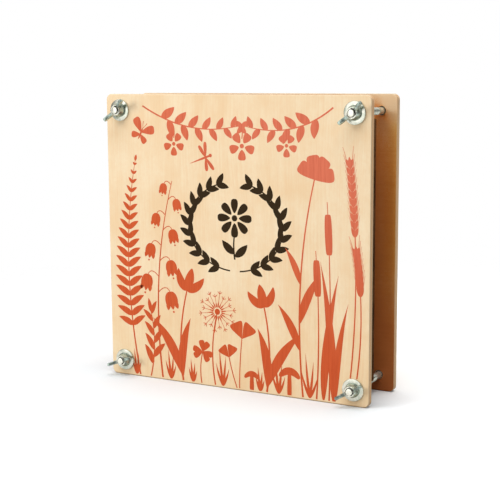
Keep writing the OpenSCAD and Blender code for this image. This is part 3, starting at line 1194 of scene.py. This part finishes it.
def nut_field(x, y, z, settings, tip_out, tip_up):
    """Signed distance, roughly, to a wing nut's skin: below 0 inside.

    The hub is a cone on a short foot. A wing is a bar from the axis to its round tip,
    with round rims. The two are blended, and the bore with its two countersinks is cut.
    """
    r = np.hypot(x, y)
    foot, top, high = settings.hub_foot / 2, settings.hub_top / 2, settings.hub_height
    slope = math.atan2(foot - top, high - HUB_FOOT_H)
    cone = (r - foot) * math.cos(slope) + (z - HUB_FOOT_H) * math.sin(slope)
    hub = smooth_most(r - foot, cone, 0.5 * MM)
    for end in (z - high, -z):
        hub = smooth_most(hub, end, 0.3 * MM)

    out, up, rise = np.abs(x), z - 2.5 * MM, tip_up - 2.5 * MM
    long = math.hypot(tip_out, rise)
    along = (out * tip_out + up * rise) / long
    aside = (up * tip_out - out * rise) / long
    bar = np.hypot(np.maximum(along - long, 0), aside) - settings.wing_width / 2
    dimple = np.exp(-((along - long) ** 2 + aside**2) / (0.75 * MM) ** 2)
    flank = np.abs(y) - settings.wing / 2 + 0.28 * MM * dimple
    bar, flank = bar + WING_RIM, flank + WING_RIM
    wing = np.hypot(np.maximum(bar, 0), np.maximum(flank, 0))
    wing = wing + np.minimum(np.maximum(bar, flank), 0) - WING_RIM

    solid = smooth_least(hub, wing, settings.fillet)
    bore = settings.nut_bore / 2
    solid = smooth_most(solid, bore - r, 0.1 * MM)
    for end in (z - high, -z):
        solid = np.maximum(solid, (bore + NUT_SINK - r + end) * math.sqrt(0.5))
    return solid


def crowded(low, high, number, places):
    """Closed range of values, closer together near some places.

    Each place is (value, spread, weight). The weights are summed and the summed curve
    is cut into equal parts.
    """
    fine = np.linspace(low, high, 4001)
    weight = np.ones_like(fine)
    for value, spread, more in places:
        gap = (fine - value + (high - low) / 2) % (high - low) - (high - low) / 2
        weight += more * np.exp(-((gap / spread) ** 2))
    total = np.concatenate([[0], np.cumsum((weight[1:] + weight[:-1]) / 2)])
    return np.interp(np.arange(number) / number * total[-1], total, fine)


def wing_nut_grid(settings, span, high):
    """Skin of a wing nut as a grid of two angles.

    One angle goes round the bolt. The other goes round a ring inside the hub's wall,
    and along each ray from that ring the field's zero is found by halving.
    """
    width = settings.wing_width / 2
    tip_out, tip_up = span / 2 - width, high - width
    core_r, core_z = NUT_CORE
    wings = [(turn, math.radians(9), 6) for turn in (0, np.pi)]
    top, bore, foot = settings.hub_top / 2, settings.nut_bore / 2, settings.hub_foot / 2
    hub_h = settings.hub_height
    rims = [(top, hub_h), (bore + NUT_SINK, hub_h), (bore, hub_h - NUT_SINK)]
    rims += [(bore, NUT_SINK), (bore + NUT_SINK, 0), (foot, 0), (foot, HUB_FOOT_H)]
    sharp = [(math.atan2(z - core_z, r - core_r), 0.07, 3) for r, z in rims]
    sharp = [(math.atan2(tip_up - core_z, tip_out - core_r), 0.3, 6), *sharp]
    round_bolt = crowded(0, 2 * np.pi, NUT_GRID[0], wings)
    round_wall = crowded(-np.pi, np.pi, NUT_GRID[1], sharp)
    a, b = np.meshgrid(round_bolt, round_wall, indexing="ij")

    def at(reach):
        r = core_r + reach * np.cos(b)
        return r * np.cos(a), r * np.sin(a), core_z + reach * np.sin(b)

    to_axis = (core_r - 0.1 * MM) / np.maximum(-np.cos(b), 1e-9)
    near, far = np.zeros_like(a), np.minimum(12 * MM, to_axis)
    for _ in range(HALVINGS):
        middle = (near + far) / 2
        inside = nut_field(*at(middle), settings, tip_out, tip_up) < 0
        near, far = np.where(inside, middle, near), np.where(inside, far, middle)
    return np.stack(at((near + far) / 2), -1)


class FLOWERPRESS_OT_wing_nuts(bpy.types.Operator):
    """Builds the four wing nuts"""

    bl_idname = "flowerpress.wing_nuts"
    bl_label = "Wing nuts"

    def execute(self, context):
        settings = context.scene.press_hardware
        foot = cad_box("washer_top_left")[0][1]
        hub_end = (foot - settings.hub_height) / MM
        dull = linear(settings.zinc_dull)
        # Painted highlight on the ring at the hub's end, and painted shadow in the bore's mouth at
        # its upper right
        bright, bore_shadow = shaded(linear(settings.zinc_pale), 1.3), shaded(dull, 0.05)
        bands = (
            (bright, 0.5, 3.45, hub_end - 9, hub_end + 0.25, 0),
            (bore_shadow, 0.5, 3.15, hub_end - 9, hub_end + 0.3, 1),
        )
        tones = shaded(dull, 0.65), shaded(dull, 1.9)
        finish = zinc_plate("zinc_nuts", tones, 0.16, 0.18 * MM, bands, 0.6)
        span = 2 * np.hypot(*wing_reach("top_left").T).max()
        grid = wing_nut_grid(settings, span, foot - cad_box("wing_nut_top_left")[0][1])
        for corner in CORNERS:
            skin = along_bolt(grid, corner, foot, wing_turn(corner))
            make_hardware("wings_", "wing_nut_", corner, skin, finish, "nut_" + corner)
        return {"FINISHED"}


# ---- stack


def notched(low, high, n, rounding):
    """Outline of a sheet whose corner notches begin n from its middle, softly rounded."""
    x, z = high[0], (high[2] - low[2]) / 2
    right = [(x, -n), (x, n), (n, n), (n, z)]
    left = [(-n, z), (-n, n), (-x, n), (-x, -n), (-n, -n), (-n, -z)]
    corners = [*right, *left, (n, -z), (n, -n)]
    outline = soften(corners, rounding, 3, 0.3 * MM, closed=True)
    return outline + (0, (high[2] + low[2]) / 2)


def sheet_rings(outline, front, back, bevel):
    """Rings of a thin sheet between two places along the bolts, with softened rims."""
    middle = outline.mean(0)
    inner = middle + (outline - middle) * (1 - bevel / np.abs(outline - middle).max(0))
    rows = (inner, front), (outline, front + bevel), (outline, back - bevel), (inner, back)
    return np.stack([np.insert(points, 1, y, axis=1) for points, y in rows])


def add_flutes(shell, low, high, s):
    """Fluted sheet as a thick sine wave up the card, straight from side to side.

    Its middle line is y = A sin(2 pi z / flute), and its faces lie half a wall to
    each side along the line's own normal. It is cut at the notches.
    """
    level, middle = (low[2] + high[2]) / 2, (low[1] + high[1]) / 2
    reach = (high[1] - low[1]) / 2 - s.liner - s.flute_wall / 2
    ends = [low[2] + s.inset, level - s.notch, level + s.notch, high[2] - s.inset]
    halves = [s.notch - s.inset, high[0] - s.inset, s.notch - s.inset]
    for bottom, top, half in zip(ends, ends[1:], halves):
        z = np.linspace(bottom, top, max(int((top - bottom) / s.flute * 14), 8))
        wave = 2 * np.pi * (z - level) / s.flute
        y = middle + reach * np.sin(wave)
        tilt = reach * 2 * np.pi / s.flute * np.cos(wave)
        scale = s.flute_wall / 2 / np.hypot(1, tilt)
        loops = []
        for side, face in ((-1, -1), (1, -1), (1, 1), (-1, 1)):
            up = np.clip(z - face * scale * tilt, bottom, top)
            loops.append(np.stack([0 * z + side * half, y + face * scale, up], -1))
        shell.bars(np.stack(loops, 1)[None])


class FLOWERPRESS_OT_cards(bpy.types.Operator):
    """Builds the corrugated cards: two liners round a fluted sheet"""

    bl_idname = "flowerpress.cards"
    bl_label = "Cards"

    def execute(self, context):
        s = context.scene.press_stack
        finish = fibre_board("kraft_card", s.card_pale, s.card_dark, 1.6, 0.3)
        for name in sorted(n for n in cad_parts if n.startswith("card_")):
            low, high = cad_box(name)
            shell = Shell()
            outline = notched(low, high, s.notch, 0.4 * MM)
            for front in (low[1], high[1] - s.liner):
                shell.slab(sheet_rings(outline, front, front + s.liner, 0.04 * MM))
            add_flutes(shell, low, high, s)
            shell.make("corrugated_" + name, finish, "front", [name], "card")
        return {"FINISHED"}


class FLOWERPRESS_OT_papers(bpy.types.Operator):
    """Builds the blotting papers between the cards"""

    bl_idname = "flowerpress.papers"
    bl_label = "Papers"

    def execute(self, context):
        s = context.scene.press_stack
        finish = fibre_board("blotting_paper", s.paper_pale, s.paper_dark, 1.2, 0.12)
        for name in sorted(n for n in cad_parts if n.startswith("paper_")):
            low, high = cad_box(name)
            shell = Shell()
            outline = notched(low, high, s.notch, 0.6 * MM)
            shell.slab(sheet_rings(outline, low[1], high[1], 0.12 * MM))
            shell.make("blotting_" + name, finish, "front", [name], "blotting_paper")
        return {"FINISHED"}


# ---- stage


def area_lamp(name, place, aim, size, power):
    """A soft square lamp that points at a place and isn't seen in mirrors."""
    data = bpy.data.lights.new(name, "AREA")
    data.shape, data.size, data.energy = "SQUARE", size, power
    lamp = bpy.data.objects.new(name, data)
    back = np.array(place) - aim
    back /= np.linalg.norm(back)
    side = np.cross((0, 0, 1) if abs(back[2]) < 0.99 else (0, 1, 0), back)
    side /= np.linalg.norm(side)
    turn = np.stack([side, np.cross(back, side), back], 1)
    lamp.matrix_world = Matrix.Translation(place) @ Matrix(turn).to_4x4()
    lamp.visible_glossy = False
    bpy.context.scene.collection.objects.link(lamp)


class FLOWERPRESS_OT_stage(bpy.types.Operator):
    """Sets the camera, the lamps, the white surroundings and the floor"""

    bl_idname = "flowerpress.stage"
    bl_label = "Stage"

    def execute(self, context):
        settings = context.scene.press_stage
        scene = context.scene
        scene.view_settings.view_transform = "Standard"
        self.camera(scene, settings)
        self.world(scene, settings)
        self.floor()
        area_lamp("lamp_left", (-1.3, -1.45, 0.6), (0, 0, 0.1), 0.95, settings.key)
        area_lamp("lamp_top", (0.05, -0.2, 1.5), (0, 0, 0), 1.5, settings.top)
        area_lamp("lamp_back", (-0.25, 1.9, 0.35), (0, 0, 0.1), 1.2, settings.rear)
        return {"FINISHED"}

    def camera(self, scene, settings):
        """Camera at the viewing angle: in front, to the right and a little above."""
        data = bpy.data.cameras.new("camera")
        data.sensor_width, data.lens = 36, settings.lens
        data.clip_start, data.clip_end = 0.01, 50
        camera = bpy.data.objects.new("camera", data)
        (sy, sp, sr), (cy, cp, cr) = np.sin(CAMERA_TURN), np.cos(CAMERA_TURN)
        forward = np.array([-sy * cp, cy * cp, -sp])
        right = np.array([cy, sy, 0])
        up = np.cross(right, forward)
        right, up = cr * right + sr * up, cr * up - sr * right
        turn = Matrix(np.stack([right, up, -forward], 1))
        camera.matrix_world = Matrix.Translation(CAMERA_PLACE) @ turn.to_4x4()
        scene.collection.objects.link(camera)
        scene.camera = camera

    def world(self, scene, settings):
        """Plain white straight before the camera, even light for matt surfaces, and for
        mirrors a white room with a darker ceiling, dark sides and one bright window."""
        world = bpy.data.worlds.new("studio")
        scene.world = world
        g = Graph(world)
        x, y, up = g.split(g.node("TexCoord", out=0))

        def patch(bearing, height, start, end):
            bearing, height = math.radians(bearing), math.radians(height)
            flat = x * math.sin(bearing) - y * math.cos(bearing)
            return g.step(flat * math.cos(height) + up * math.sin(height), start, end)

        level = g.step(up, -0.3, -0.1) * g.step(up, 0.3, 0.65, 1.0, 0.0)
        right = patch(settings.dark_side, 0, 0.1, 0.4) * level * 0.82
        front = patch(22, 8, 0.8, 0.92) * 0.95
        left = patch(-64, 6, 0.866, 0.905) * g.step(up, -0.25, 0.03, 0.35, 0.75)
        dark = g.maths("MAXIMUM", g.maths("MAXIMUM", right, front), left)
        ceiling = g.step(up, 0.7, 0.95, 1.0, 0.5)
        room = ceiling * (1 - dark) + patch(-16, 12, 0.86, 0.95) * 0.8
        open_side = 1 - g.step(x, 0.0, 0.5) * g.step(y, 0.2, -0.3) * 0.12
        seen, straight = g.seen(), g.node("LightPath")
        strength = (seen - straight) * room + straight
        strength = strength + (1 - seen) * (settings.ambient * open_side)
        light = g.node("Background", sockets={"Color": WHITE, "Strength": strength})
        g.node("OutputWorld", sockets={"Surface": light})

    def floor(self):
        """Disc under the press, of rings at growing radii, that fades out round it."""
        radius = np.array([0, 0.2, 0.4, 0.6])
        grid = revolve(np.stack([radius, radius * 0], 1), 64)
        quads = grid_quads(*grid.shape[:2], False, True)
        mesh = bpy.data.meshes.new("floor")
        mesh.from_pydata(grid.reshape(-1, 3).tolist(), [], quads.tolist())
        material, g = new_material("white_floor")
        away = g.node("VectorMath", {"operation": "LENGTH"}, {0: g.place()}, 1)
        x, y, _ = g.split(g.place())
        near_press = g.step(away, 230, 110) * g.step(y, 20, -40)
        # Painted light: the floor seen lighter to the right of the press, over its shade
        shown = g.mix(g.step(x * 0.88 + y * 0.48, 60, 115), *FLOOR_SHOWN)
        # Painted cool tint near the press, against the wood's warm bounce light
        shown = g.mix(near_press, shown, FLOOR_TINT, "MULTIPLY")
        sockets = {
            "Base Color": g.mix(g.seen(), FLOOR_BOUNCE, shown),
            "Roughness": 0.9,
            "Specular IOR Level": 0.0,
            "Alpha": g.step(away, 260, 560, 1.0, 0.0),
        }
        g.surface(g.node("BsdfPrincipled", sockets=sockets))
        mesh.materials.append(material)
        floor = bpy.data.objects.new("floor", mesh)
        bpy.context.scene.collection.objects.link(floor)


# ---- the whole


OPERATORS = (
    FLOWERPRESS_OT_stage,
    FLOWERPRESS_OT_boards,
    FLOWERPRESS_OT_print,
    FLOWERPRESS_OT_bolts,
    FLOWERPRESS_OT_washers,
    FLOWERPRESS_OT_wing_nuts,
    FLOWERPRESS_OT_cards,
    FLOWERPRESS_OT_papers,
)


class FLOWERPRESS_PT_sidebar(bpy.types.Panel):
    """Lists the steps that build the press"""

    bl_idname = "FLOWERPRESS_PT_sidebar"
    bl_label = "Flower press"
    bl_space_type = "VIEW_3D"
    bl_region_type = "UI"
    bl_category = "Flower press"

    def draw(self, context):
        for operator in OPERATORS:
            self.layout.operator(operator.bl_idname)


def register():
    """Registers the settings, the steps and the panel."""
    for name, group in SETTINGS.items():
        bpy.utils.register_class(group)
        setattr(bpy.types.Scene, name, PointerProperty(type=group))
    for kind in (*OPERATORS, FLOWERPRESS_PT_sidebar):
        bpy.utils.register_class(kind)


def unregister():
    """Takes back what register did."""
    for kind in (FLOWERPRESS_PT_sidebar, *reversed(OPERATORS)):
        bpy.utils.unregister_class(kind)
    for name, group in SETTINGS.items():
        delattr(bpy.types.Scene, name)
        bpy.utils.unregister_class(group)


def main():
    """Builds everything in order."""
    register()
    for operator in OPERATORS:
        getattr(bpy.ops.flowerpress, operator.bl_idname.split(".")[1])()


if __name__ == "__main__":
    main()
